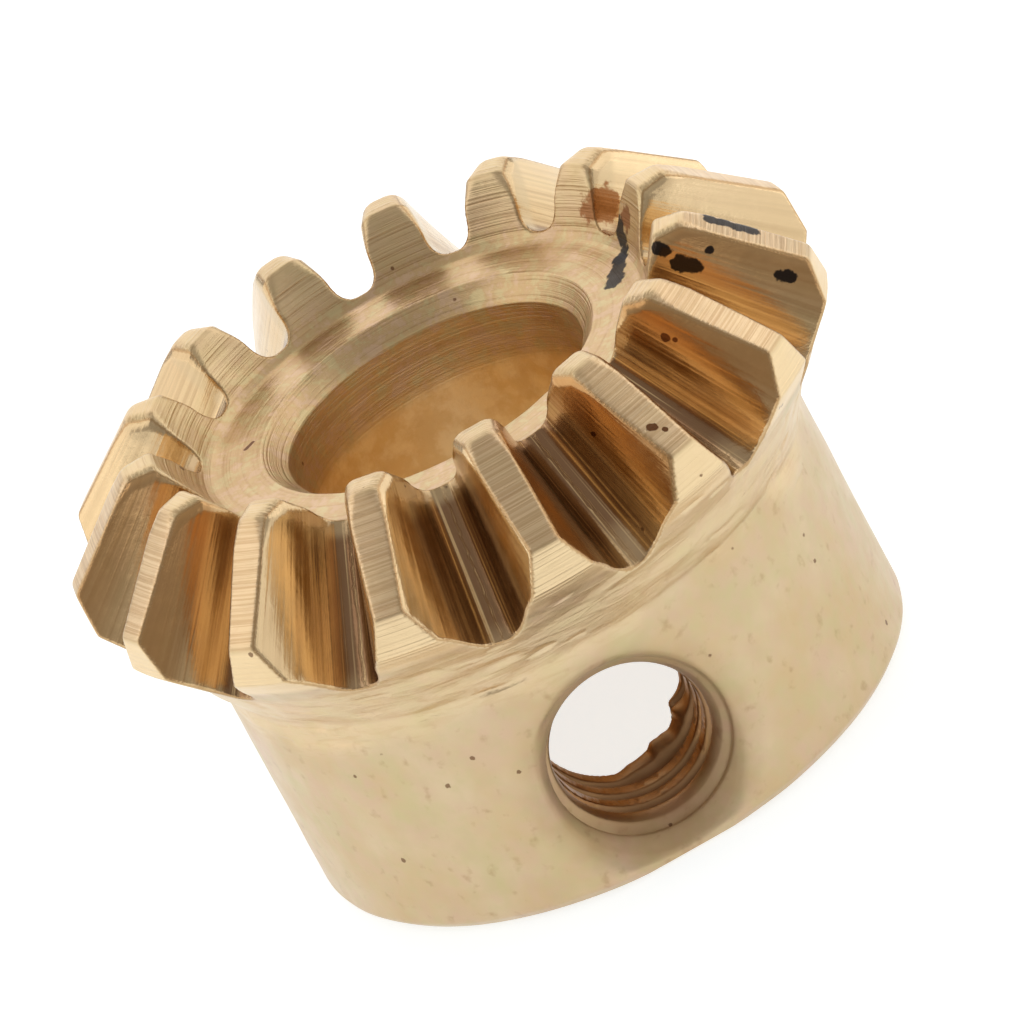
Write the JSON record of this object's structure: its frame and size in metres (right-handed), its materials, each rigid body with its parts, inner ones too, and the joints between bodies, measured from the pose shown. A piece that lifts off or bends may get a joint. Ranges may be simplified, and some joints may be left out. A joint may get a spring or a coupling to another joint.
{
  "type": "bevel gear",
  "caption": "Straight bevel gear with tapered teeth on a cone, a plain round hub, a through bore with a chamfered mouth and a tapped radial hole for a set screw.",
  "frame": {"origin": "centre of the bore on the hub's flat bottom face", "axes": "+Z along the bore axis from the hub towards the toothed end; the tapped hole opens towards -Y, under one tooth; +X completes the right-handed frame"},
  "size_m": [0.0252, 0.0251, 0.0157],
  "materials": {
    "plated_steel": "satin, yellow-passivated zinc plating over steel"
  },
  "bodies": {
    "root": {"bevel_gear": "plated_steel"}
  },
  "joints": []
}
